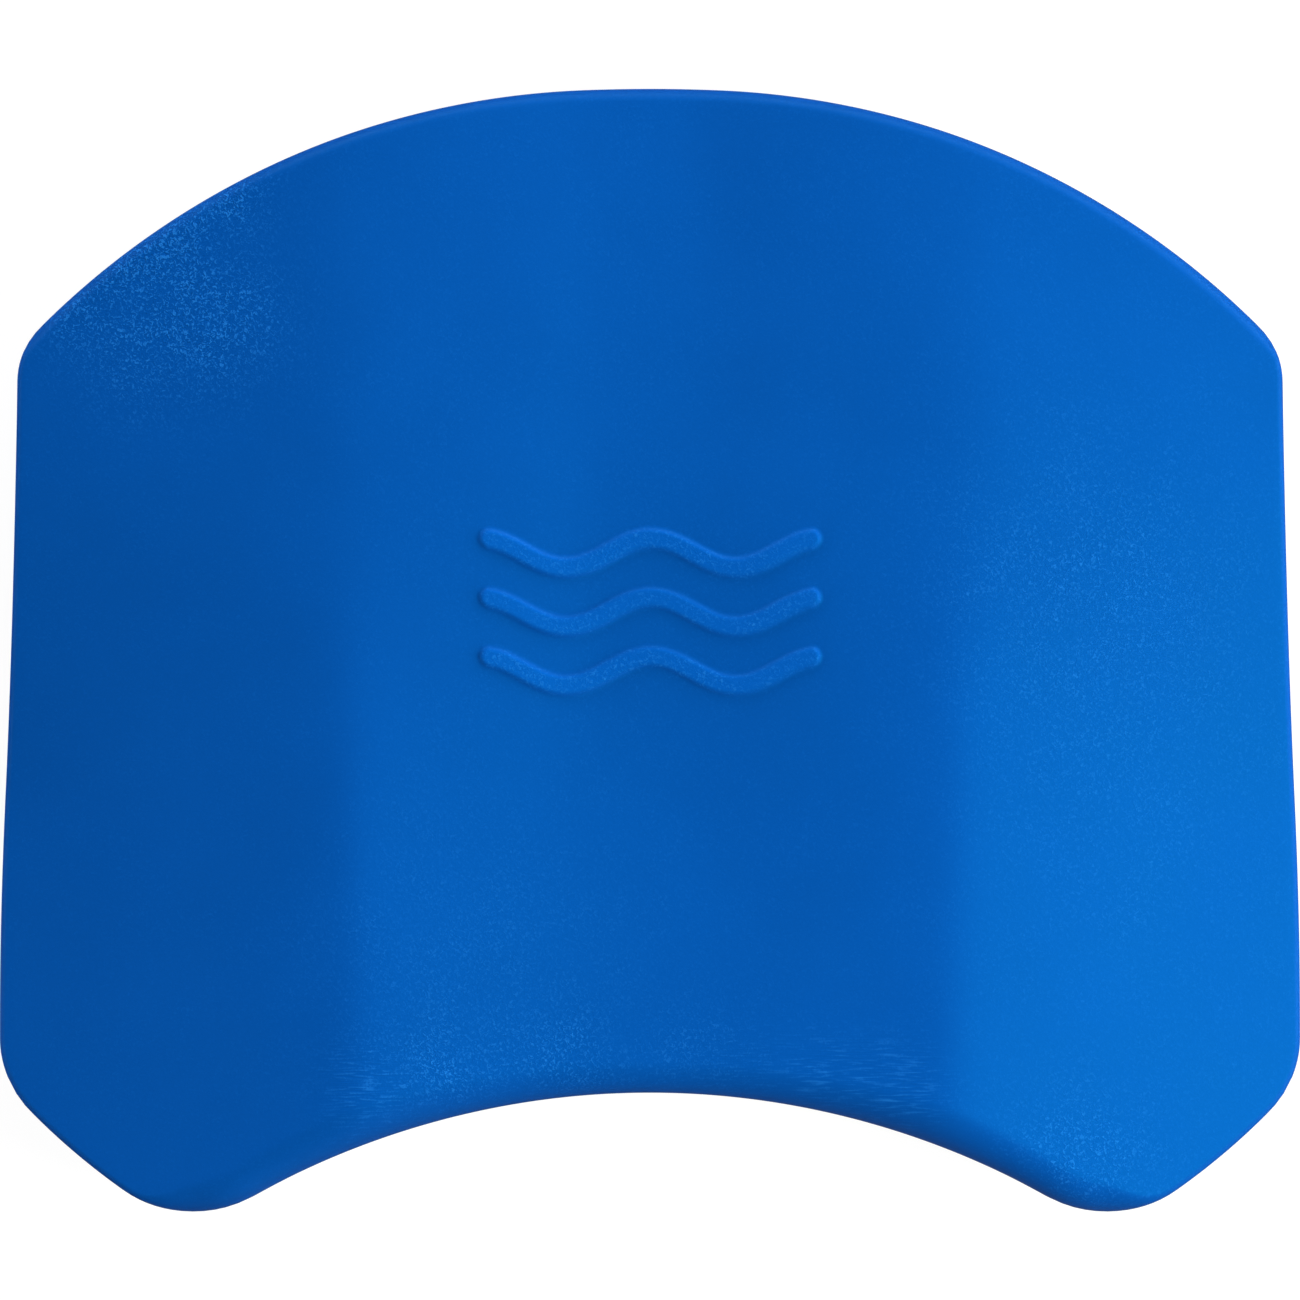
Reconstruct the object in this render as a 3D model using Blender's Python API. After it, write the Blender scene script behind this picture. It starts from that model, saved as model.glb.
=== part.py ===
"""Kickboard float (pull-kick): two moulded EVA foam halves joined by a film of adhesive.

The float lies on its back face with +Z up. X runs across it, +Y points at the nose, and the origin is
under its middle, on the surface it rests on. Sizes are in millimetres until a point becomes a vertex.
"""

import math

import bmesh
import bpy
import numpy as np

MM = 0.001

# --- Driving dimensions ---

NOSE_Y = 125.0

# The right half of the outline, clockwise from the nose: (radius, turn in degrees). A negative turn
# bends outwards. Each arc leaves the one before it without a corner, and the scoop's arc closes it.
CROWN = (360.0, 2.4)
NOSE_ARC = (181.5, 42.5)
SHOULDER = (17.7, 44.3)
UPPER_SIDE = (2700.0, -1.95)
LOWER_SIDE = (1120.0, 2.75)
HIP = (23.7, 45.0)
CUT_CORNER = (152.5, 10.3)
TIP = (27.6, 63.9)
OUTLINE_ARCS = (CROWN, NOSE_ARC, SHOULDER, UPPER_SIDE, LOWER_SIDE, HIP, CUT_CORNER, TIP)

CREST_HEIGHT = 30.0  # above the mid-plane, so the float is twice this thick
CREST_X = 67.5  # at mid-length
CREST_SPREAD = 0.022  # the crests part by this much for each mm towards the nose
CREST_LAND = 7.0  # the flat strip along a crest, which the float rests on

CHANNEL_FLOOR = 38.0  # how far the rounded floor reaches from the middle before its walls run straight
CHANNEL_SLOPE_LEG_END = 0.21
CHANNEL_SLOPE_NOSE = 0.105
GROOVE_DEPTH = 1.6  # the narrow groove along the channel's floor, at the nose
GROOVE_HALF_WIDTH = 23.5

LOBE_SLOPE_LEG_END = 0.20  # just outside the crest
LOBE_SLOPE_NOSE = 0.125
LOBE_BEND = 0.0001  # how fast the lobe steepens outwards, per mm

LEG_END_SHAPE_TO = -40.0  # from here on towards the nose, the leg end's slopes turn into the nose's
NOSE_SHAPE_FROM = 42.0
NOSE_TAPER_FROM = 45.0
NOSE_TAPER_DROP = 4.0

NOSE_RIM_WIDTH = 3.0
SIDE_RIM_WIDTH = 1.5
SIDE_FROM_HEADING = 48.0  # where the rim starts to narrow towards the side, in degrees
SIDE_TO_HEADING = 75.0
SCOOP_RIM_SHARE = 0.31  # at the scoop the rim is this share of the height there
SCOOP_FROM_HEADING = 150.0  # where the rim starts to widen towards the scoop, in degrees
SCOOP_TO_HEADING = 184.0
RIM_HEIGHT_SHARE = 1.3  # the rounding's height over its width
WALL_DRAFT = 0.035

SEAM_GAP = 0.5  # from the mid-plane to each half
FILM_THICKNESS = 0.4
FILM_INSET = 1.2

EMBLEM_Y = 8.4
EMBLEM_HALF_LENGTH = 37.5
EMBLEM_WAVES = 3
EMBLEM_PITCH = 13.0
EMBLEM_AMPLITUDE = 3.2
EMBLEM_WAVELENGTH = 37.5
EMBLEM_STROKE = 4.2
EMBLEM_RAISED = 0.9
EMBLEM_ROOT = 2.5  # how deep a bar starts under the surface, so that it joins the foam
STROKE_SECTION = ((-1, -EMBLEM_ROOT), (1, -EMBLEM_ROOT), (1, EMBLEM_RAISED), (-1, EMBLEM_RAISED))

# --- Mesh fineness ---

ARC_STEP = 1.0  # degrees between the points that carry the outline
ARC_LEAST_STEPS = 12
CHANNEL_COLUMNS = 9  # from the middle to a crest's land
LOBE_COLUMNS = 13  # from the land to the outline's corner
SIDE_ROWS = 28
ROW_CROWDING = 0.65  # how far the rows crowd towards the outline's corners, from 0 to 1
RIM_STEPS = 4
EMBLEM_STEPS = 30

FOAM_BLUE = (0.004, 0.100, 0.420, 1.0)
FILM_AMBER = (0.55, 0.42, 0.20, 1.0)


# --- Outline ---


def half_outline():
    """The right half: its points, the heading at each in degrees, and the places of its two corners."""
    x, y, heading = 0.0, NOSE_Y, 0.0
    points, headings, corners = [(x, y)], [heading], []
    for radius, turn in OUTLINE_ARCS:
        side = math.copysign(1.0, turn)
        start = math.radians(heading)
        centre_x = x - side * radius * math.sin(start)
        centre_y = y - side * radius * math.cos(start)
        steps = arc_steps(turn)
        if (radius, turn) in (SHOULDER, HIP):
            corners.append(len(points) - 1 + steps // 2)
        for k in range(1, steps + 1):
            angle = start + math.radians(turn) * k / steps
            x = centre_x + side * radius * math.sin(angle)
            y = centre_y + side * radius * math.cos(angle)
            points.append((x, y))
            headings.append(math.degrees(angle))
        heading += turn
    add_scoop(points, headings)
    return np.array(points), np.array(headings), corners


def arc_steps(turn):
    return max(ARC_LEAST_STEPS, round(abs(turn) / ARC_STEP))


def add_scoop(points, headings):
    """Adds the scoop, the arc centred on the Y axis that leaves the tip without a corner."""
    x, y = points[-1]
    turn = math.radians(headings[-1] - 180.0)
    radius = x / math.sin(turn)
    centre_y = y - radius * math.cos(turn)
    steps = arc_steps(math.degrees(turn))
    for k in range(1, steps + 1):
        angle = turn * (1 - k / steps)
        points.append((radius * math.sin(angle), centre_y + radius * math.cos(angle)))
        headings.append(180.0 + math.degrees(angle))


# --- Relief ---


def smooth_step(value, low, high):
    t = min(max((value - low) / (high - low), 0.0), 1.0)
    return t * t * (3 - 2 * t)


def mix(a, b, share):
    return a + (b - a) * share


def rounded(distance, rounding):
    """A ramp of slope 1 that starts level."""
    return math.hypot(distance, rounding) - rounding


def crest_x(y):
    return CREST_X + CREST_SPREAD * y


def channel(across, to_nose):
    """Rise from the middle line: a wide channel, and towards the nose a narrow groove along it."""
    slope = mix(CHANNEL_SLOPE_LEG_END, CHANNEL_SLOPE_NOSE, to_nose)
    groove = GROOVE_DEPTH - GROOVE_DEPTH / (1 + (across / GROOVE_HALF_WIDTH) ** 4)
    return slope * rounded(across, CHANNEL_FLOOR) + to_nose * groove


def relief(x, y):
    """Height of the face above the mid-plane, before its rim is rounded."""
    across = abs(x)
    to_nose = smooth_step(y, LEG_END_SHAPE_TO, NOSE_SHAPE_FROM)
    land_edge = crest_x(y) - CREST_LAND / 2
    past_land = across - land_edge - CREST_LAND
    drop = NOSE_TAPER_DROP * (max(y - NOSE_TAPER_FROM, 0.0) / (NOSE_Y - NOSE_TAPER_FROM)) ** 2
    if across < land_edge:
        drop += channel(land_edge, to_nose) - channel(across, to_nose)
    elif past_land > 0:
        slope = mix(LOBE_SLOPE_LEG_END, LOBE_SLOPE_NOSE, to_nose)
        drop += slope * past_land + LOBE_BEND * past_land**2
    return CREST_HEIGHT - drop


# --- Rim ---


def rim_profile(height, width):
    """(inset, drop below the face) from the top of the side wall up to the face."""
    rise = RIM_HEIGHT_SHARE * width
    for k in range(RIM_STEPS + 1):
        angle = math.radians(90 * k / RIM_STEPS)
        inset = WALL_DRAFT * (height - rise) + width * (1 - math.cos(angle))
        yield inset, rise * (1 - math.sin(angle))


def rims(points, headings):
    """For each outline point, the points of the rim above it, from the parting line to the face."""
    rows = []
    for (x, y), heading in zip(points, headings):
        inward = (-math.sin(math.radians(heading)), -math.cos(math.radians(heading)))
        height = relief(x, y)
        at_side = smooth_step(heading, SIDE_FROM_HEADING, SIDE_TO_HEADING)
        at_scoop = smooth_step(heading, SCOOP_FROM_HEADING, SCOOP_TO_HEADING)
        width = mix(NOSE_RIM_WIDTH, SIDE_RIM_WIDTH, at_side)
        width = mix(width, SCOOP_RIM_SHARE * height, at_scoop)
        row = [(x, y, SEAM_GAP)]
        for inset, drop in rim_profile(height, width):
            rim_x = x + inset * inward[0]
            rim_y = y + inset * inward[1]
            row.append((rim_x, rim_y, relief(rim_x, rim_y) - drop))
        rows.append(row)
    return np.array(rows)


# --- Layout of the face ---


def column_shares():
    """The face's columns: 0 is the middle, 1 and 2 are the land's edges, 3 is the outline's corner."""
    return np.concatenate([np.linspace(0, 1, CHANNEL_COLUMNS + 1), np.linspace(2, 3, LOBE_COLUMNS + 1)])


def row_shares():
    """The face's rows, from 0 at the shoulder to 1 at the hip, closer together near both."""
    even = np.linspace(0, 1, SIDE_ROWS + 1)
    return even - ROW_CROWDING * np.sin(2 * math.pi * even) / (2 * math.pi)


def even_stations(all_rims, corners):
    """The rims of the right half where the face's columns and rows end, clockwise from the nose."""
    inner = all_rims[:, -1]
    steps = np.linalg.norm(np.diff(inner[:, :2], axis=0), axis=1)
    along = np.concatenate([[0.0], np.cumsum(steps)])
    shoulder, hip = along[corners]

    def column_ends(middle, corner):
        """Where the columns end between the middle and a corner of the outline."""
        fine = np.linspace(middle, corner, 2000)
        across = np.interp(fine, along, inner[:, 0])
        from_crest = across - crest_x(np.interp(fine, along, inner[:, 1]))
        edges = np.interp((-CREST_LAND / 2, CREST_LAND / 2), from_crest, across)
        wanted = np.interp(column_shares(), (0, 1, 2, 3), (0.0, *edges, across[-1]))
        return np.interp(wanted, across, fine)

    nose = column_ends(0.0, shoulder)
    scoop = column_ends(along[-1], hip)
    side = shoulder + (hip - shoulder) * row_shares()
    stations = np.concatenate([nose, side[1:-1], scoop[::-1]])
    values = all_rims.reshape(len(along), -1)
    sampled = [np.interp(stations, along, values[:, k]) for k in range(values.shape[1])]
    return np.array(sampled).T.reshape(len(stations), *all_rims.shape[1:])


def mirrored_loop(right):
    """The right half's points and their mirror images, clockwise from the nose's middle."""
    left = right[-2:0:-1] * np.array((-1.0, 1.0, 1.0))
    return np.concatenate([right, left])


def face_plan(inner):
    """(x, y) of the face's points, rows from the nose to the scoop and columns from left to right."""
    shares = column_shares()
    last = len(shares) - 1
    nose = inner[: last + 1, :2]
    side = inner[last : last + SIDE_ROWS + 1, :2]
    scoop = inner[last + SIDE_ROWS :, :2][::-1]
    down = row_shares()[:, None]
    straight = (1 - down[:, None]) * nose + down[:, None] * scoop
    bulge = side - (1 - down) * nose[-1] - down * scoop[-1]
    follows_side = np.clip(shares - 2, 0, 1) ** 2
    right = straight + follows_side[:, None] * bulge[:, None]
    return np.concatenate([right[:, :0:-1] * np.array((-1.0, 1.0)), right], axis=1)


# --- Meshes ---


def new_object(name, bm, material):
    bmesh.ops.recalc_face_normals(bm, faces=bm.faces)
    mesh = bpy.data.meshes.new(name)
    bm.to_mesh(mesh)
    bm.free()
    mesh.shade_smooth()
    mesh.set_sharp_from_angle(angle=math.radians(35))
    if material:
        mesh.materials.append(material)
    obj = bpy.data.objects.new(name, mesh)
    bpy.context.scene.collection.objects.link(obj)
    return obj


def material(name, colour, roughness):
    made = bpy.data.materials.new(name)
    made.use_nodes = True
    shader = made.node_tree.nodes["Principled BSDF"]
    shader.inputs["Base Color"].default_value = colour
    shader.inputs["Roughness"].default_value = roughness
    shader.inputs["Metallic"].default_value = 0.0
    return made


def vertex(bm, point, side):
    """A vertex at a height above the mid-plane (side 1) or below it (side -1)."""
    x, y, z = point
    return bm.verts.new((x * MM, y * MM, (CREST_HEIGHT + side * z) * MM))


def border(grid):
    """The vertices round a grid, clockwise from the middle of its first row."""
    middle = len(grid[0]) // 2
    right = [row[-1] for row in grid[1:]]
    left = [row[0] for row in grid[-2:0:-1]]
    return grid[0][middle:] + right + grid[-1][-2::-1] + left + grid[0][:middle]


def foam_half(name, side, stations, foam):
    """One half: the face, the rings of its rim and side wall, and the flat bonding face."""
    bm = bmesh.new()
    plan = face_plan(stations[:, -1])
    grid = [[vertex(bm, (x, y, relief(x, y)), side) for x, y in row] for row in plan]
    for upper, lower in zip(grid, grid[1:]):
        for k in range(1, len(upper)):
            bm.faces.new((upper[k - 1], upper[k], lower[k], lower[k - 1]))

    loop = mirrored_loop(stations)
    rings = [[vertex(bm, point, side) for point in loop[:, k]] for k in range(loop.shape[1] - 1)]
    rings.append(border(grid))
    for lower, upper in zip(rings, rings[1:]):
        for k in range(len(lower)):
            bm.faces.new((lower[k - 1], lower[k], upper[k], upper[k - 1]))
    bm.faces.new(rings[0])
    return new_object(name, bm, foam)


def film(stations, adhesive):
    """The adhesive, a thin sheet a little inside the halves' edge."""
    bm = bmesh.new()
    outline, above = stations[:, 0, :2], stations[:, -1, :2]
    inward = (above - outline) / np.linalg.norm(above - outline, axis=1)[:, None]
    edge = mirrored_loop(np.column_stack([outline + FILM_INSET * inward, np.zeros(len(outline))]))
    rings = []
    for height in (-FILM_THICKNESS / 2, FILM_THICKNESS / 2):
        rings.append([vertex(bm, (x, y, height), 1) for x, y, _ in edge])
    lower, upper = rings
    for k in range(len(edge)):
        bm.faces.new((lower[k - 1], lower[k], upper[k], upper[k - 1]))
    bm.faces.new(lower)
    bm.faces.new(upper)
    return new_object("bond_film", bm, adhesive)


# --- Emblem ---


def wave_bar(bm, middle_y):
    """One bar of the emblem: a flat strip along a wave, following the channel, with pointed ends."""
    sections = []
    for k in range(EMBLEM_STEPS + 1):
        share = 2 * k / EMBLEM_STEPS - 1
        x = EMBLEM_HALF_LENGTH * share
        phase = 2 * math.pi * x / EMBLEM_WAVELENGTH
        y = middle_y + EMBLEM_AMPLITUDE * math.cos(phase)
        slope = -EMBLEM_AMPLITUDE * 2 * math.pi / EMBLEM_WAVELENGTH * math.sin(phase)
        across = np.array((-slope, 1.0)) / math.hypot(slope, 1.0)
        half = EMBLEM_STROKE / 2 * max(math.sqrt(1 - share**8), 0.25)
        section = []
        for offset, raised in STROKE_SECTION:
            px, py = np.array((x, y)) + half * offset * across
            section.append(vertex(bm, (px, py, relief(px, py) + raised), 1))
        sections.append(section)
    for before, after in zip(sections, sections[1:]):
        for k in range(4):
            bm.faces.new((before[k - 1], before[k], after[k], after[k - 1]))
    bm.faces.new(sections[0])
    bm.faces.new(sections[-1])


def emboss(half):
    """Joins the emblem's raised bars to the front half."""
    bm = bmesh.new()
    for k in range(EMBLEM_WAVES):
        wave_bar(bm, EMBLEM_Y + EMBLEM_PITCH * (k - (EMBLEM_WAVES - 1) / 2))
    bars = new_object("emblem_bars", bm, None)
    bars.hide_render = True
    bars.display_type = "WIRE"
    union = half.modifiers.new("emblem", "BOOLEAN")
    union.operation = "UNION"
    union.solver = "EXACT"
    union.object = bars


def main():
    for obj in list(bpy.data.objects):
        bpy.data.objects.remove(obj)
    foam = material("eva_foam", FOAM_BLUE, 0.55)
    adhesive = material("contact_adhesive", FILM_AMBER, 0.4)
    points, headings, corners = half_outline()
    stations = even_stations(rims(points, headings), corners)
    front = foam_half("front_foam_half", 1, stations, foam)
    foam_half("back_foam_half", -1, stations, foam)
    film(stations, adhesive)
    emboss(front)


main()
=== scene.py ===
"""Looks of the kickboard float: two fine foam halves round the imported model, on a white studio floor.

Shapes are worked out in millimetres from the mid-plane, as in the CAD source, and placed by the frame.
"""

import math

import bpy
import numpy as np
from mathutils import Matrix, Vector


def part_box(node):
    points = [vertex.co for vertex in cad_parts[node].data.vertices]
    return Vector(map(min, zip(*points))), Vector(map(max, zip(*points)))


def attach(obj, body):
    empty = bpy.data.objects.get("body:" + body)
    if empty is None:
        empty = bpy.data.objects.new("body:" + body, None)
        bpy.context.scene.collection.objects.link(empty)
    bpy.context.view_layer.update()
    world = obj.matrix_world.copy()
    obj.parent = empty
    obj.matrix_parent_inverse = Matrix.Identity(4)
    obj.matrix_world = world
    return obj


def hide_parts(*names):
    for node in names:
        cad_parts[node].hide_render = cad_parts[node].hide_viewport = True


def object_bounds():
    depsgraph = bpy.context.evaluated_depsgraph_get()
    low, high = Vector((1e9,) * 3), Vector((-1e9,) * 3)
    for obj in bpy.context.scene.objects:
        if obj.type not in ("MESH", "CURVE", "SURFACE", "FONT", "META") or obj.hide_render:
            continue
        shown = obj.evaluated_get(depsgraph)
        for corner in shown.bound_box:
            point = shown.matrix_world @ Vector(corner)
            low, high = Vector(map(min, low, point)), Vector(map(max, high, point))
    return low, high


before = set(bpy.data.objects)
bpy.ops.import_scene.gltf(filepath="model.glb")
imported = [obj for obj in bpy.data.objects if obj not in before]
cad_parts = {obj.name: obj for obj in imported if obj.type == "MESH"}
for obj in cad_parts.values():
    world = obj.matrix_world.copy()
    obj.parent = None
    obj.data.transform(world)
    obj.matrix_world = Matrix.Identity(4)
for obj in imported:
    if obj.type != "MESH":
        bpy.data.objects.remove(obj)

CAD_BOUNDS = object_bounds()
FRONT_LOW, FRONT_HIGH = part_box("front_foam_half")
BACK_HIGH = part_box("back_foam_half")[1]

MM = 0.001

# --- The frame's sizes, in millimetres ---

NOSE_Y = FRONT_HIGH[1] / MM
MID_Z = (FRONT_LOW[2] + BACK_HIGH[2]) / 2 / MM
CREST_HEIGHT = FRONT_HIGH[2] / MM - MID_Z

# --- Outline: the right half, clockwise from the nose, as (radius, turn in degrees) ---

CROWN = (360.0, 2.4)
NOSE_ARC = (181.5, 42.5)
SHOULDER = (17.7, 44.3)
UPPER_SIDE = (2700.0, -1.95)
LOWER_SIDE = (1120.0, 2.75)
HIP = (23.7, 45.0)
CUT_CORNER = (152.5, 10.3)
TIP = (27.6, 63.9)
OUTLINE_ARCS = (CROWN, NOSE_ARC, SHOULDER, UPPER_SIDE, LOWER_SIDE, HIP, CUT_CORNER, TIP)

# --- Relief of the face ---

CREST_X = 67.5
CREST_SPREAD = 0.022
CREST_ROUNDING = 1.0
CHANNEL_FLOOR = 38.0
CHANNEL_SLOPE_LEG_END = 0.21
CHANNEL_SLOPE_NOSE = 0.105
LOBE_SLOPE_LEG_END = 0.20
LOBE_SLOPE_NOSE = 0.125
LOBE_BEND = 0.0001
LEG_END_SHAPE_TO = -40.0
NOSE_SHAPE_FROM = 42.0
GROOVE_DEPTH = 1.6
GROOVE_HALF_WIDTH = 23.5
NOSE_TAPER_FROM = 45.0
NOSE_TAPER_DROP = 4.0

# --- Rim and seam ---

NOSE_RIM_WIDTH = 3.0
SIDE_RIM_WIDTH = 1.5
SIDE_FROM_HEADING = 48.0
SIDE_TO_HEADING = 75.0
SCOOP_RIM_SHARE = 0.31
SCOOP_FROM_HEADING = 150.0
SCOOP_TO_HEADING = 184.0
RIM_HEIGHT_SHARE = 1.3
WALL_DRAFT = 0.035
SEAM_GAP = 0.25
SEAM_ROUNDING = 0.7
SEAM_FLAT_FROM = 1.12  # how far in the half's flat inner face begins

# --- Emblem ---

EMBLEM_Y = 8.4
EMBLEM_HALF_LENGTH = 37.5
EMBLEM_WAVES = 3
EMBLEM_PITCH = 13.0
EMBLEM_AMPLITUDE = 3.2
EMBLEM_WAVELENGTH = 37.5
EMBLEM_STROKE = 4.2
EMBLEM_RAISED = 0.9
EMBLEM_BEVEL = 0.9

# --- Adhesive film ---

FILM_HALF_THICKNESS = 0.2
FILM_INSET = 1.2
FILM_EDGE_WAVES = 9
FILM_EDGE_WAVE_HEIGHT = 0.25

# --- Skin: where, and from 0 to 1 how strongly, the fine pebbling and the fold lines show, as bumps and as painted glints ---

PEBBLED_AND_GLINTS_EVERYWHERE = 0.05
PEBBLED_AND_GLINTS_EMBLEM = 0.2
WALL_SMOOTHER = 0.9  # the share of both that the side wall lacks
PEBBLED_AND_GLINTS = (  # (x, y, reach, share): soft round patches
    (-128.0, 76.0, 5.0, 0.5),
    (-117.0, 85.0, 6.0, 0.8),
    (-106.0, 93.0, 6.0, 0.9),
    (-93.0, 101.0, 5.0, 0.8),
    (-98.0, 73.0, 9.0, 0.8),
    (-116.0, 66.0, 8.0, 0.4),
    (97.0, 13.0, 20.0, 0.20),
    (105.0, -35.0, 22.0, 0.07),
    (-42.0, -70.0, 20.0, 0.10),
    (95.0, -112.0, 9.0, 0.32),
    (-18.0, -91.0, 8.0, 0.28),
    (-45.0, -92.0, 7.0, 0.3),
    (10.0, -91.0, 7.0, 0.15),
)
# Fold lines: real creases by the bump, with painted glints along them.
FOLDED_AND_GLINTS = (
    (-62.0, -97.0, 7.0, 0.8),
    (-40.0, -94.0, 6.0, 0.3),
    (18.0, -92.0, 7.0, 0.4),
    (38.0, -94.0, 6.0, 0.7),
    (54.0, -98.0, 7.0, 0.9),
)
PEBBLE_THRESHOLD = 0.04  # only the noise above this gets the painted glints

# --- Materials: the noises' cells along X, Y and Z in millimetres, and the finishes ---

PEBBLE_CELL = (0.6, 0.6, 0.6)
PATCHY_CELL = (9.0, 9.0, 9.0)
FOLD_CELL = (4.0, 0.42, 3.0)
CLOUD_CELL = (34.0, 34.0, 34.0)
FINE_CELL = (0.5, 0.5, 0.5)
FILM_CLOUD_CELL = (6.0, 6.0, 2.0)
FILM_FINE_CELL = (0.7, 0.7, 0.3)
SKIN_DARK = (0.00064, 0.0386, 0.196, 1)
SKIN_LIGHT = (0.00096, 0.0579, 0.294, 1)
# The pale colour of the painted glints on the pebbling and the fold lines.
SKIN_PAINTED_GLINT = (0.0070, 0.1020, 0.390, 1)
SKIN_ROUGHNESS = 0.45
SKIN_SPECULAR = 0.05
SKIN_SPECULAR_TINT = (0.0, 1.0, 1.0, 1)
FILM_DARK = (0.05, 0.07, 0.11, 1)
FILM_LIGHT = (0.13, 0.15, 0.19, 1)
FILM_ROUGHNESS = 0.5

# --- Mesh fineness: millimetres between points, degrees between points of an arc, and step counts ---

EMBLEM_SPACING = 0.45
FACE_SPACING = 1.6
EMBLEM_REACH_X = 41.0  # how far the fine part of the face reaches from the emblem's middle
EMBLEM_REACH_Y = 21.5
ARC_STEP = 0.25
ARC_LEAST_STEPS = 60
RIM_STEPS = 14
WALL_STEPS = 5
SEAM_STEPS = 3
CREST_SEARCH_STEPS = 6000

# --- Studio: the floor, the glow of the tent's walls, and the key light, in metres and watts ---

FLOOR_SIZE = 12.0
FLOOR_GAP = 0.0002
FLOOR_ALBEDO = 0.12
FLOOR_GLOW = 0.93  # seen by the camera only, so that it doesn't light the float from below
TENT_RIGHT = 12.8
TENT_LEFT = 8.5
TENT_NOSE = 13.0
KEY_PLACE = (0.49, -0.14, 0.62)
KEY_SIZE = 0.45
KEY_POWER = 9.5
KEY_COLOUR = (1.0, 1.0, 0.84)

# --- Camera: its distance from the mid-plane, and the width that it sees there, in metres ---

CAMERA_DISTANCE = 2.0
VIEW_WIDTH = 0.2908

# --- Unevenness of the moulded foam, in millimetres ---

UNEVEN_SEED = 7
UNEVEN_WAVES = 14
UNEVEN_HEIGHT = 0.10
UNEVEN_SHORTEST = 22.0
UNEVEN_LONGEST = 75.0


# --- Outline ---


def arc_steps(turn):
    return max(ARC_LEAST_STEPS, round(abs(turn) / ARC_STEP))


def half_outline():
    """The right half: its points, the heading at each in degrees, and the places of its two corners."""
    x, y, heading = 0.0, NOSE_Y, 0.0
    points, headings, corners = [(x, y)], [heading], []
    for radius, turn in OUTLINE_ARCS:
        side = math.copysign(1.0, turn)
        start = math.radians(heading)
        centre_x = x - side * radius * math.sin(start)
        centre_y = y - side * radius * math.cos(start)
        steps = arc_steps(turn)
        if (radius, turn) in (SHOULDER, HIP):
            corners.append(len(points) - 1 + steps // 2)
        for k in range(1, steps + 1):
            angle = start + math.radians(turn) * k / steps
            x = centre_x + side * radius * math.sin(angle)
            y = centre_y + side * radius * math.cos(angle)
            points.append((x, y))
            headings.append(math.degrees(angle))
        heading += turn
    add_scoop(points, headings)
    return np.array(points), np.radians(headings), corners


def add_scoop(points, headings):
    """Adds the scoop, the arc centred on the Y axis that leaves the tip without a corner."""
    x, y = points[-1]
    turn = math.radians(headings[-1] - 180.0)
    radius = x / math.sin(turn)
    centre_y = y - radius * math.cos(turn)
    steps = arc_steps(math.degrees(turn))
    for k in range(1, steps + 1):
        angle = turn * (1 - k / steps)
        points.append((radius * math.sin(angle), centre_y + radius * math.cos(angle)))
        headings.append(180.0 + math.degrees(angle))


# --- Relief ---


def smooth_step(value, low, high):
    t = np.clip((value - low) / (high - low), 0.0, 1.0)
    return t * t * (3 - 2 * t)


def mix(a, b, share):
    return a + (b - a) * share


def rounded(distance, rounding):
    """A ramp of slope 1 that starts level."""
    return np.hypot(distance, rounding) - rounding


def crest_x(y):
    return CREST_X + CREST_SPREAD * y


def channel(across, to_nose):
    """Rise from the middle line: a wide channel, and towards the nose a narrow groove along it."""
    slope = mix(CHANNEL_SLOPE_LEG_END, CHANNEL_SLOPE_NOSE, to_nose)
    groove = GROOVE_DEPTH - GROOVE_DEPTH / (1 + (across / GROOVE_HALF_WIDTH) ** 4)
    return slope * rounded(across, CHANNEL_FLOOR) + to_nose * groove


def relief(x, y):
    """Height of the face above the mid-plane, before its rim is rounded."""
    across = np.abs(x)
    crest = crest_x(y)
    past = across - crest
    to_nose = smooth_step(y, LEG_END_SHAPE_TO, NOSE_SHAPE_FROM)
    wall = channel(across, to_nose) - channel(crest, to_nose)
    lobe = -mix(LOBE_SLOPE_LEG_END, LOBE_SLOPE_NOSE, to_nose) * past
    lobe = lobe - LOBE_BEND * past * np.maximum(past, 0)
    meet = (wall + lobe) / 2 - rounded((wall - lobe) / 2, CREST_ROUNDING)
    taper = NOSE_TAPER_DROP * (np.maximum(y - NOSE_TAPER_FROM, 0.0) / (NOSE_Y - NOSE_TAPER_FROM)) ** 2
    return CREST_HEIGHT + meet - taper


def emblem(x, y):
    """Height of the emblem's raised bars: a few stacked waves with round ends and soft edges."""
    raised = np.zeros(np.shape(x))
    turn = 2 * math.pi / EMBLEM_WAVELENGTH
    slope = EMBLEM_AMPLITUDE * turn * np.sin(turn * x)
    half = EMBLEM_STROKE / 2
    past_end = np.maximum(np.abs(x) - EMBLEM_HALF_LENGTH + half, 0.0)
    for k in range(EMBLEM_WAVES):
        middle = EMBLEM_Y + EMBLEM_PITCH * (k - (EMBLEM_WAVES - 1) / 2)
        off = (y - middle - EMBLEM_AMPLITUDE * np.cos(turn * x)) / np.hypot(1.0, slope)
        inside = half - np.hypot(off, past_end)
        raised = np.maximum(raised, smooth_step(inside, -EMBLEM_BEVEL / 2, EMBLEM_BEVEL / 2))
    return EMBLEM_RAISED * raised


def soft_patches(x, y, patches):
    """The summed strength of soft round patches, each (x, y, reach, share), at most 1."""
    strength = np.zeros(np.shape(x))
    for patch_x, patch_y, reach, share in patches:
        distance = np.hypot(x - patch_x, y - patch_y)
        strength += share * np.exp(-((distance / reach) ** 2) / 2)
    return np.minimum(strength, 1.0)


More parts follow.
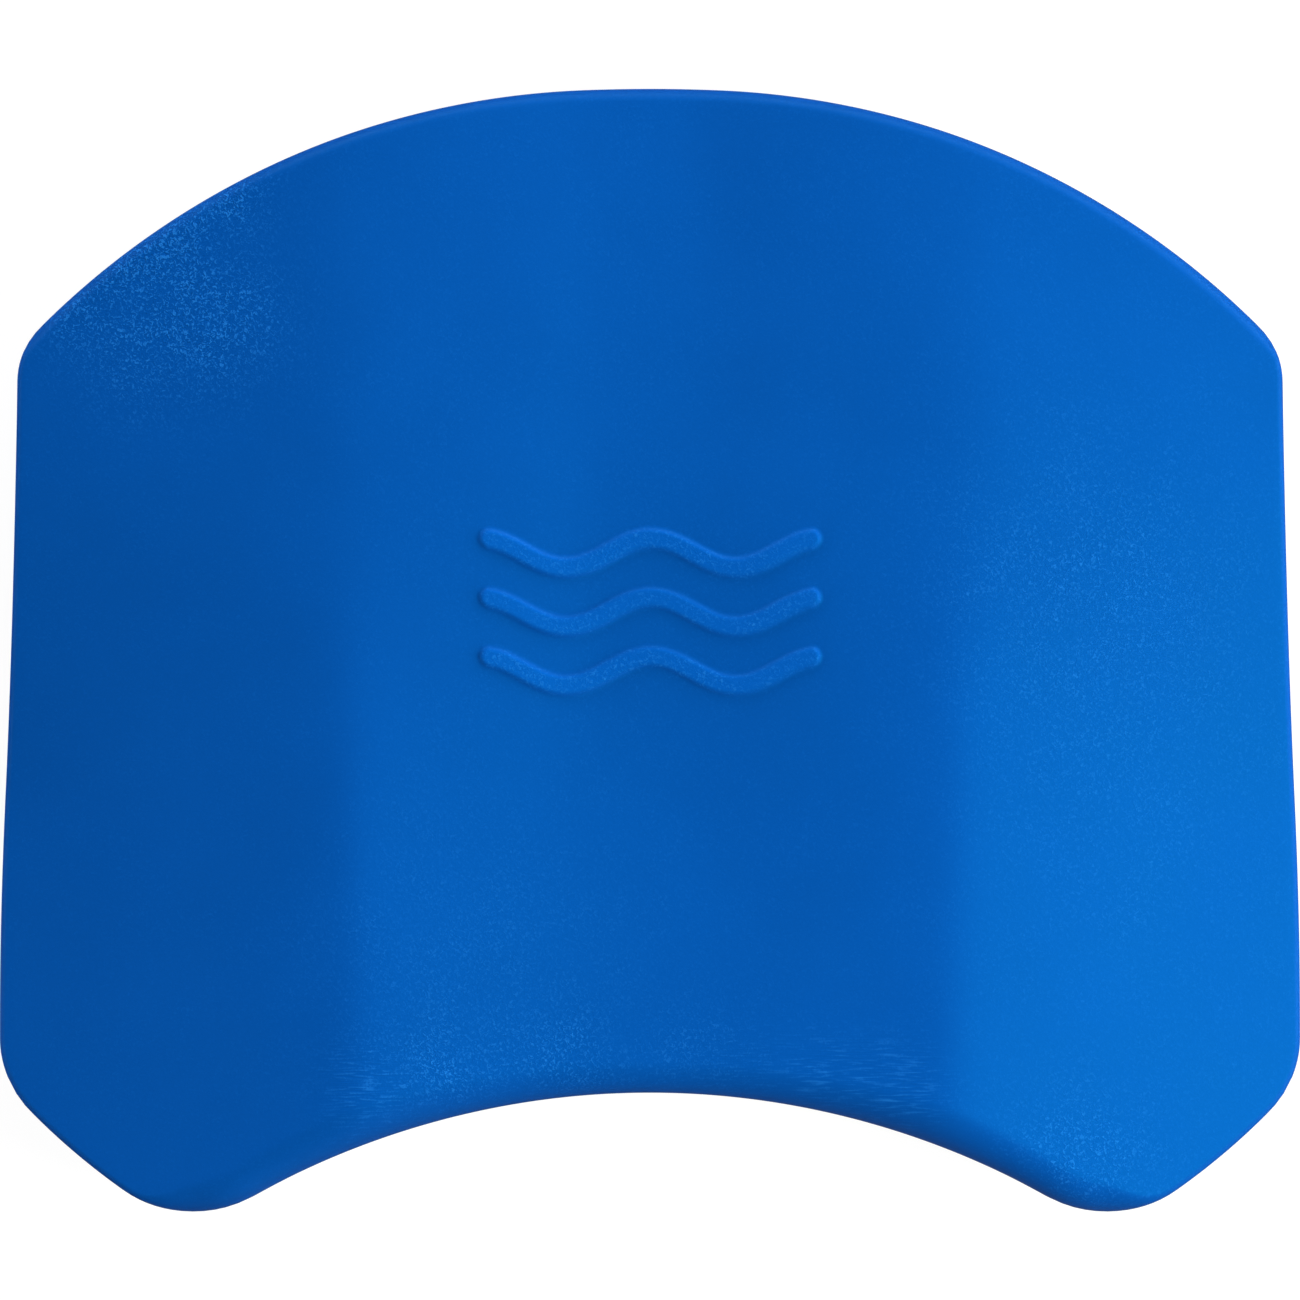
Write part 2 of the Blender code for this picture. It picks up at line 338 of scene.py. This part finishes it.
def unevenness(x, y, side):
    """The slight, slow waviness of moulded foam."""
    random = np.random.default_rng(UNEVEN_SEED + side)
    height = np.zeros(np.shape(x))
    for _ in range(UNEVEN_WAVES):
        angle, phase = random.uniform(0, 2 * math.pi, 2)
        wavelength = random.uniform(UNEVEN_SHORTEST, UNEVEN_LONGEST)
        along = x * math.cos(angle) + y * math.sin(angle)
        height += np.sin(2 * math.pi * along / wavelength + phase) * wavelength / UNEVEN_LONGEST
    return UNEVEN_HEIGHT * height / math.sqrt(UNEVEN_WAVES)


# --- Rim ---


def rims(points, headings):
    """For each outline point, the points of the rim above it, from the seam up to the face."""
    x, y = points.T
    inward = np.column_stack([-np.sin(headings), -np.cos(headings)])
    height = relief(x, y)
    at_side = smooth_step(np.degrees(headings), SIDE_FROM_HEADING, SIDE_TO_HEADING)
    at_scoop = smooth_step(np.degrees(headings), SCOOP_FROM_HEADING, SCOOP_TO_HEADING)
    width = mix(NOSE_RIM_WIDTH, SIDE_RIM_WIDTH, at_side)
    width = mix(width, SCOOP_RIM_SHARE * height, at_scoop)
    rise = RIM_HEIGHT_SHARE * width
    wall = height - rise
    rows = []

    def add(inset, z):
        at = points + inset[:, None] * inward
        rows.append(np.column_stack([at, z(*at.T) if callable(z) else z]))

    same = np.ones(len(points))
    rows.append(np.column_stack([points + SEAM_FLAT_FROM * inward, SEAM_GAP * same]))
    for k in range(SEAM_STEPS + 1):
        angle = math.radians(90 * k / SEAM_STEPS)
        inset = SEAM_ROUNDING * (1 - math.sin(angle)) * same
        add(inset, (SEAM_GAP + SEAM_ROUNDING * (1 - math.cos(angle))) * same)
    wall_foot = SEAM_GAP + SEAM_ROUNDING
    for k in range(1, WALL_STEPS):
        z = mix(wall_foot, wall, k / WALL_STEPS)
        add(WALL_DRAFT * (z - wall_foot), z)
    for k in range(RIM_STEPS + 1):
        angle = math.radians(90 * k / RIM_STEPS)
        inset = WALL_DRAFT * (wall - wall_foot) + width * (1 - math.cos(angle))
        drop = rise * (1 - math.sin(angle))
        add(inset, lambda px, py, drop=drop: relief(px, py) - drop)
    return np.stack(rows, axis=1)


# --- Layout of the face ---


def steps_between(low, high, spacing):
    """Even points from low up to but without high, about this far apart."""
    count = max(2, round(abs(high - low) / spacing))
    return np.linspace(low, high, count, endpoint=False)


def column_shares(fine):
    """Columns from the middle: 0 is the middle, 1 is the crest, 2 is the corner."""
    reach = EMBLEM_REACH_X / CREST_X
    spacing = EMBLEM_SPACING if fine else FACE_SPACING
    return np.concatenate([
        steps_between(0.0, reach, spacing / CREST_X),
        steps_between(reach, 1.0, FACE_SPACING / CREST_X),
        steps_between(1.0, 2.0, FACE_SPACING / CREST_X),
        [2.0],
    ])


def row_shares(fine, nose_y, scoop_y):
    """Rows from 0 at the nose to 1 at the scoop, close together where the emblem is."""
    length = nose_y - scoop_y
    first = (nose_y - EMBLEM_Y - EMBLEM_REACH_Y) / length
    last = (nose_y - EMBLEM_Y + EMBLEM_REACH_Y) / length
    spacing = EMBLEM_SPACING if fine else FACE_SPACING
    return np.concatenate([
        steps_between(0.0, first, FACE_SPACING / length),
        steps_between(first, last, spacing / length),
        steps_between(last, 1.0, FACE_SPACING / length),
        [1.0],
    ])


def even_stations(all_rims, corners, columns, rows):
    """The rims of the right half where the face's columns and rows end, clockwise from the nose."""
    inner = all_rims[:, -1]
    lengths = np.linalg.norm(np.diff(inner[:, :2], axis=0), axis=1)
    along = np.concatenate([[0.0], np.cumsum(lengths)])
    shoulder, hip = along[corners]

    def column_ends(middle, corner):
        fine = np.linspace(middle, corner, CREST_SEARCH_STEPS)
        across = np.interp(fine, along, inner[:, 0])
        from_crest = across - crest_x(np.interp(fine, along, inner[:, 1]))
        crest = np.interp(0.0, from_crest, across)
        wanted = np.interp(columns, (0, 1, 2), (0.0, crest, across[-1]))
        return np.interp(wanted, across, fine)

    nose = column_ends(0.0, shoulder)
    scoop = column_ends(along[-1], hip)
    side = shoulder + (hip - shoulder) * rows
    stations = np.concatenate([nose, side[1:-1], scoop[::-1]])
    values = all_rims.reshape(len(along), -1)
    sampled = [np.interp(stations, along, values[:, k]) for k in range(values.shape[1])]
    return np.array(sampled).T.reshape(len(stations), *all_rims.shape[1:])


def mirrored_loop(right):
    left = right[-2:0:-1] * np.array((-1.0, 1.0, 1.0))
    return np.concatenate([right, left])


def face_plan(inner, columns, rows):
    """(x, y) of the face's points, rows from the nose to the scoop and columns from left to right."""
    last = len(columns) - 1
    turn = last + len(rows) - 1
    nose = inner[: last + 1, :2]
    side = inner[last : turn + 1, :2]
    scoop = inner[turn:, :2][::-1]
    down = rows[:, None]
    straight = (1 - down[:, None]) * nose + down[:, None] * scoop
    bulge = side - (1 - down) * nose[-1] - down * scoop[-1]
    follows_side = np.clip(columns - 1, 0, 1) ** 2
    right = straight + follows_side[:, None] * bulge[:, None]
    return np.concatenate([right[:, :0:-1] * np.array((-1.0, 1.0)), right], axis=1)


# --- Meshes ---


def border(grid):
    """The indices round a grid, clockwise from the middle of its first row."""
    middle = grid.shape[1] // 2
    return np.concatenate([
        grid[0, middle:],
        grid[1:, -1],
        grid[-1, -2::-1],
        grid[-2:0:-1, 0],
        grid[0, :middle],
    ])


def quads(lower, upper):
    """The faces of a closed band between two rings of indices."""
    return np.column_stack([np.roll(lower, 1), lower, upper, np.roll(upper, 1)])


def foam_half(name, side, with_emblem):
    """A fine mesh of one half, with the point attributes that its skin is coloured by."""
    points, headings, corners = half_outline()
    columns = column_shares(with_emblem)
    all_rims = rims(points, headings)
    rows = row_shares(with_emblem, all_rims[0, -1, 1], all_rims[-1, -1, 1])
    stations = even_stations(all_rims, corners, columns, rows)
    loop = mirrored_loop(stations)

    plan = face_plan(stations[:, -1], columns, rows)
    x, y = plan[..., 0], plan[..., 1]
    face_z = relief(x, y) + unevenness(x, y, side)
    if with_emblem:
        face_z = face_z + emblem(x, y)
    grid = np.arange(x.size).reshape(x.shape)
    vertices = [np.column_stack([x.ravel(), y.ravel(), face_z.ravel()])]
    rim = [np.zeros(x.size)]

    # The unevenness fades out from the face to the seam, and the rim's share is 1 on the side wall.
    ring_count = loop.shape[1] - 1
    rings = []
    for k in range(ring_count):
        ring = loop[:, k].copy()
        rise = np.clip((k - SEAM_STEPS) / (ring_count - SEAM_STEPS), 0, 1)
        ring[:, 2] += unevenness(ring[:, 0], ring[:, 1], side) * rise
        rings.append(x.size + k * len(loop) + np.arange(len(loop)))
        vertices.append(ring)
        rim.append(np.full(len(loop), 1 - max(k - SEAM_STEPS - WALL_STEPS, 0) / RIM_STEPS))
    rings.append(border(grid))

    cells = (grid[:-1, :-1], grid[:-1, 1:], grid[1:, 1:], grid[1:, :-1])
    faces = [np.column_stack([cell.ravel() for cell in cells])]
    faces += [quads(lower, upper) for lower, upper in zip(rings, rings[1:])]
    polygons = np.concatenate(faces).tolist() + [rings[0][::-1].tolist()]
    vertices = np.concatenate(vertices)
    vertices[:, 2] = MID_Z + side * vertices[:, 2]
    mesh = bpy.data.meshes.new(name)
    mesh.from_pydata((vertices * MM).tolist(), [], polygons)
    if side > 0:
        mesh.flip_normals()
    x, y = vertices[:, 0], vertices[:, 1]
    rim = np.concatenate(rim)
    on_face = 1 - WALL_SMOOTHER * rim
    raised = emblem(x, y) / EMBLEM_RAISED * with_emblem
    # Where the pebbling and the fold lines show, both as bumps and as painted glints.
    pebbled_and_glints = soft_patches(side * x, y, PEBBLED_AND_GLINTS) * on_face + PEBBLED_AND_GLINTS_EMBLEM * raised
    shares = {
        "rim": rim,
        "pebbled_and_glints": pebbled_and_glints + PEBBLED_AND_GLINTS_EVERYWHERE,
        "folded_and_glints": soft_patches(side * x, y, FOLDED_AND_GLINTS) * on_face,
        "raised": raised,
    }
    for label, share in shares.items():
        mesh.attributes.new(label, "FLOAT", "POINT").data.foreach_set("value", share)
    mesh.shade_smooth()
    mesh.polygons[len(polygons) - 1].use_smooth = False  # the flat bonding face
    half = bpy.data.objects.new(name, mesh)
    bpy.context.scene.collection.objects.link(half)
    return half


def film():
    """The adhesive's sheet between the halves, with an edge that squeezed out unevenly."""
    points, headings, _ = half_outline()
    share = np.linspace(0.0, 2 * math.pi, len(points))
    inset = FILM_INSET + FILM_EDGE_WAVE_HEIGHT * np.sin(FILM_EDGE_WAVES * share) * np.cos(share)
    inward = np.column_stack([-np.sin(headings), -np.cos(headings)])
    edge = mirrored_loop(np.column_stack([points + inset[:, None] * inward, np.zeros(len(points))]))
    vertices = np.concatenate([edge - (0, 0, FILM_HALF_THICKNESS), edge + (0, 0, FILM_HALF_THICKNESS)])
    vertices[:, 2] += MID_Z
    count = len(edge)
    lower, upper = np.arange(count), np.arange(count, 2 * count)
    polygons = quads(upper, lower).tolist() + [lower.tolist(), upper[::-1].tolist()]
    mesh = bpy.data.meshes.new("film")
    mesh.from_pydata((vertices * MM).tolist(), [], polygons)
    sheet = bpy.data.objects.new("film", mesh)
    bpy.context.scene.collection.objects.link(sheet)
    return sheet


# --- Materials ---


def new_material(name):
    made = bpy.data.materials.new(name)
    made.use_nodes = True
    return made, made.node_tree, made.node_tree.nodes["Principled BSDF"]


def math_node(tree, operation, a, b):
    """A Math node on two sockets or plain numbers; gives its output socket."""
    node = tree.nodes.new("ShaderNodeMath")
    node.operation = operation
    for socket, value in zip(node.inputs, (a, b)):
        if isinstance(value, (int, float)):
            socket.default_value = value
        else:
            tree.links.new(value, socket)
    return node.outputs[0]


def attribute(tree, name):
    """A point attribute of the mesh, as a socket."""
    node = tree.nodes.new("ShaderNodeAttribute")
    node.attribute_name = name
    return node.outputs["Fac"]


def noise(tree, cell, detail=0.0, distortion=0.0):
    """Noise about 0, with cells this large along X, Y and Z in millimetres."""
    place = tree.nodes.new("ShaderNodeTexCoord")
    stretch = tree.nodes.new("ShaderNodeMapping")
    stretch.inputs["Scale"].default_value = [1 / (size * MM) for size in cell]
    tree.links.new(place.outputs["Object"], stretch.inputs["Vector"])
    made = tree.nodes.new("ShaderNodeTexNoise")
    made.inputs["Scale"].default_value = 1.0
    made.inputs["Detail"].default_value = detail
    made.inputs["Distortion"].default_value = distortion
    tree.links.new(stretch.outputs["Vector"], made.inputs["Vector"])
    return math_node(tree, "SUBTRACT", made.outputs["Fac"], 0.5)


def total(tree, *terms):
    """The sum of (socket, weight) terms."""
    result = 0.0
    for socket, weight in terms:
        result = math_node(tree, "ADD", math_node(tree, "MULTIPLY", socket, weight), result)
    return result


def bump(tree, shader, height):
    """Bumps the shader's surface by a height in millimetres."""
    node = tree.nodes.new("ShaderNodeBump")
    node.inputs["Strength"].default_value = 1.0
    node.inputs["Distance"].default_value = MM
    tree.links.new(height, node.inputs["Height"])
    tree.links.new(node.outputs["Normal"], shader.inputs["Normal"])


def blend(tree, share, dark, light):
    """A colour from dark, which may be a socket, to light, by a share from 0 to 1."""
    node = tree.nodes.new("ShaderNodeMix")
    node.data_type = "RGBA"
    tree.links.new(share, node.inputs["Factor"])
    if isinstance(dark, tuple):
        node.inputs["A"].default_value = dark
    else:
        tree.links.new(dark, node.inputs["A"])
    node.inputs["B"].default_value = light
    return node.outputs["Result"]


def foam_material():
    """EVA skin: pebbling in patches and fine fold lines by the scoop, with painted glints on both; a
    painted highlight where it is raised and a painted shade on the rim.
    """
    made, tree, shader = new_material("eva_foam_skin")
    pebbles_and_glints = noise(tree, PEBBLE_CELL, detail=0.5, distortion=1.0)
    pebbles_and_glints = math_node(tree, "SUBTRACT", pebbles_and_glints, PEBBLE_THRESHOLD)
    patchy = math_node(tree, "ADD", noise(tree, PATCHY_CELL, detail=2.0), 0.5)
    pebbles_and_glints = math_node(tree, "MULTIPLY", pebbles_and_glints, attribute(tree, "pebbled_and_glints"))
    pebbles_and_glints = math_node(tree, "MULTIPLY", pebbles_and_glints, patchy)
    folds_and_glints = math_node(tree, "MULTIPLY", noise(tree, FOLD_CELL), attribute(tree, "folded_and_glints"))
    cloud = noise(tree, CLOUD_CELL, detail=3.0)
    fine = noise(tree, FINE_CELL, detail=2.0)
    # The emblem's raised bars are painted paler, a painted highlight.
    raised = attribute(tree, "raised")
    # The rim and the side wall are painted darker, a painted shade.
    rim = attribute(tree, "rim")

    share = total(tree, (pebbles_and_glints, 1.5), (cloud, 0.35), (fine, 0.3), (raised, 0.45), (rim, -0.2))
    ground = blend(tree, math_node(tree, "ADD", share, 0.5), SKIN_DARK, SKIN_LIGHT)
    # Painted glints: the pebbling and the fold lines are blended towards a pale glint colour.
    painted_glints = total(tree, (pebbles_and_glints, 18.0), (folds_and_glints, 2.4))
    tree.links.new(blend(tree, painted_glints, ground, SKIN_PAINTED_GLINT), shader.inputs["Base Color"])

    roughness = total(tree, (pebbles_and_glints, -0.5), (cloud, 0.12), (fine, 0.1))
    roughness = math_node(tree, "ADD", roughness, SKIN_ROUGHNESS)
    tree.links.new(roughness, shader.inputs["Roughness"])
    shader.inputs["Specular IOR Level"].default_value = SKIN_SPECULAR
    shader.inputs["Specular Tint"].default_value = SKIN_SPECULAR_TINT
    bump(tree, shader, total(tree, (pebbles_and_glints, 0.5), (folds_and_glints, 0.08), (fine, 0.012)))
    return made


def adhesive_material():
    """Cured adhesive, a little uneven and dusty."""
    made, tree, shader = new_material("contact_adhesive_film")
    cloud = noise(tree, FILM_CLOUD_CELL, detail=3.0)
    fine = noise(tree, FILM_FINE_CELL, detail=2.0)
    share = math_node(tree, "ADD", total(tree, (cloud, 1.0), (fine, 0.6)), 0.5)
    tree.links.new(blend(tree, share, FILM_DARK, FILM_LIGHT), shader.inputs["Base Color"])
    roughness = math_node(tree, "ADD", total(tree, (cloud, 0.3), (fine, 0.2)), FILM_ROUGHNESS)
    tree.links.new(roughness, shader.inputs["Roughness"])
    bump(tree, shader, total(tree, (fine, 0.05), (cloud, 0.05)))
    return made


# --- Studio ---


def studio_floor():
    half = FLOOR_SIZE / 2
    mesh = bpy.data.meshes.new("studio_floor")
    corners = [(-half, -half, 0), (half, -half, 0), (half, half, 0), (-half, half, 0)]
    mesh.from_pydata(corners, [], [(0, 1, 2, 3)])
    floor = bpy.data.objects.new("studio_floor", mesh)
    floor.location.z = CAD_BOUNDS[0][2] - FLOOR_GAP
    bpy.context.scene.collection.objects.link(floor)
    made, tree, shader = new_material("studio_white")
    shader.inputs["Base Color"].default_value = (FLOOR_ALBEDO, FLOOR_ALBEDO, FLOOR_ALBEDO, 1)
    shader.inputs["Roughness"].default_value = 0.9
    shader.inputs["Specular IOR Level"].default_value = 0.0
    shader.inputs["Emission Color"].default_value = (1, 1, 1, 1)
    ray = tree.nodes.new("ShaderNodeLightPath")
    glow = math_node(tree, "MULTIPLY", ray.outputs["Is Camera Ray"], FLOOR_GLOW)
    tree.links.new(glow, shader.inputs["Emission Strength"])
    mesh.materials.append(made)


def studio_world():
    """A light tent: walls that glow low down on the right, the left and the nose side."""
    world = bpy.data.worlds.new("studio_world")
    bpy.context.scene.world = world
    world.use_nodes = True
    tree = world.node_tree
    background = tree.nodes["Background"]
    background.inputs["Color"].default_value = (1, 1, 1, 1)
    place = tree.nodes.new("ShaderNodeTexCoord")
    split = tree.nodes.new("ShaderNodeSeparateXYZ")
    tree.links.new(place.outputs["Generated"], split.inputs[0])
    x, y, z = split.outputs
    up = math_node(tree, "MAXIMUM", z, 0.0)
    down = math_node(tree, "SUBTRACT", 1.0, up)
    low = math_node(tree, "MULTIPLY", down, down)
    low = math_node(tree, "DIVIDE", low, math_node(tree, "ADD", 1.0, up))
    light = 0.0
    for axis, way, strength in ((x, 1, TENT_RIGHT), (x, -1, TENT_LEFT), (y, 1, TENT_NOSE)):
        facing = math_node(tree, "MAXIMUM", math_node(tree, "MULTIPLY", axis, way), 0.0)
        wall = math_node(tree, "MULTIPLY", math_node(tree, "MULTIPLY", facing, facing), strength)
        light = math_node(tree, "ADD", light, math_node(tree, "MULTIPLY", wall, low))
    tree.links.new(light, background.inputs["Strength"])


def key_light():
    data = bpy.data.lights.new("key", "AREA")
    data.shape = "DISK"
    data.size = KEY_SIZE
    data.energy = KEY_POWER
    data.color = KEY_COLOUR
    light = bpy.data.objects.new("key", data)
    light.location = KEY_PLACE
    to_light = Vector(KEY_PLACE) - Vector((0, 0, MID_Z * MM))
    light.rotation_euler = to_light.to_track_quat("Z", "Y").to_euler()
    light.visible_camera = False
    bpy.context.scene.collection.objects.link(light)


def camera():
    """Square on to the front face."""
    data = bpy.data.cameras.new("photo_camera")
    made = bpy.data.objects.new("photo_camera", data)
    data.lens = data.sensor_width * CAMERA_DISTANCE / VIEW_WIDTH
    made.location = (0, 0, MID_Z * MM + CAMERA_DISTANCE)
    bpy.context.scene.collection.objects.link(made)
    bpy.context.scene.camera = made


studio_floor()
studio_world()
key_light()
camera()
bpy.context.scene.view_settings.view_transform = "Standard"

foam = foam_material()
front = foam_half("front_foam", 1, with_emblem=True)
back = foam_half("back_foam", -1, with_emblem=False)
for piece, node in ((front, "front_foam_half"), (back, "back_foam_half")):
    piece.data.materials.append(foam)
    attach(piece, "root")
    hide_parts(node)
sheet = film()
sheet.data.materials.append(adhesive_material())
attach(sheet, "root")
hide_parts("bond_film")
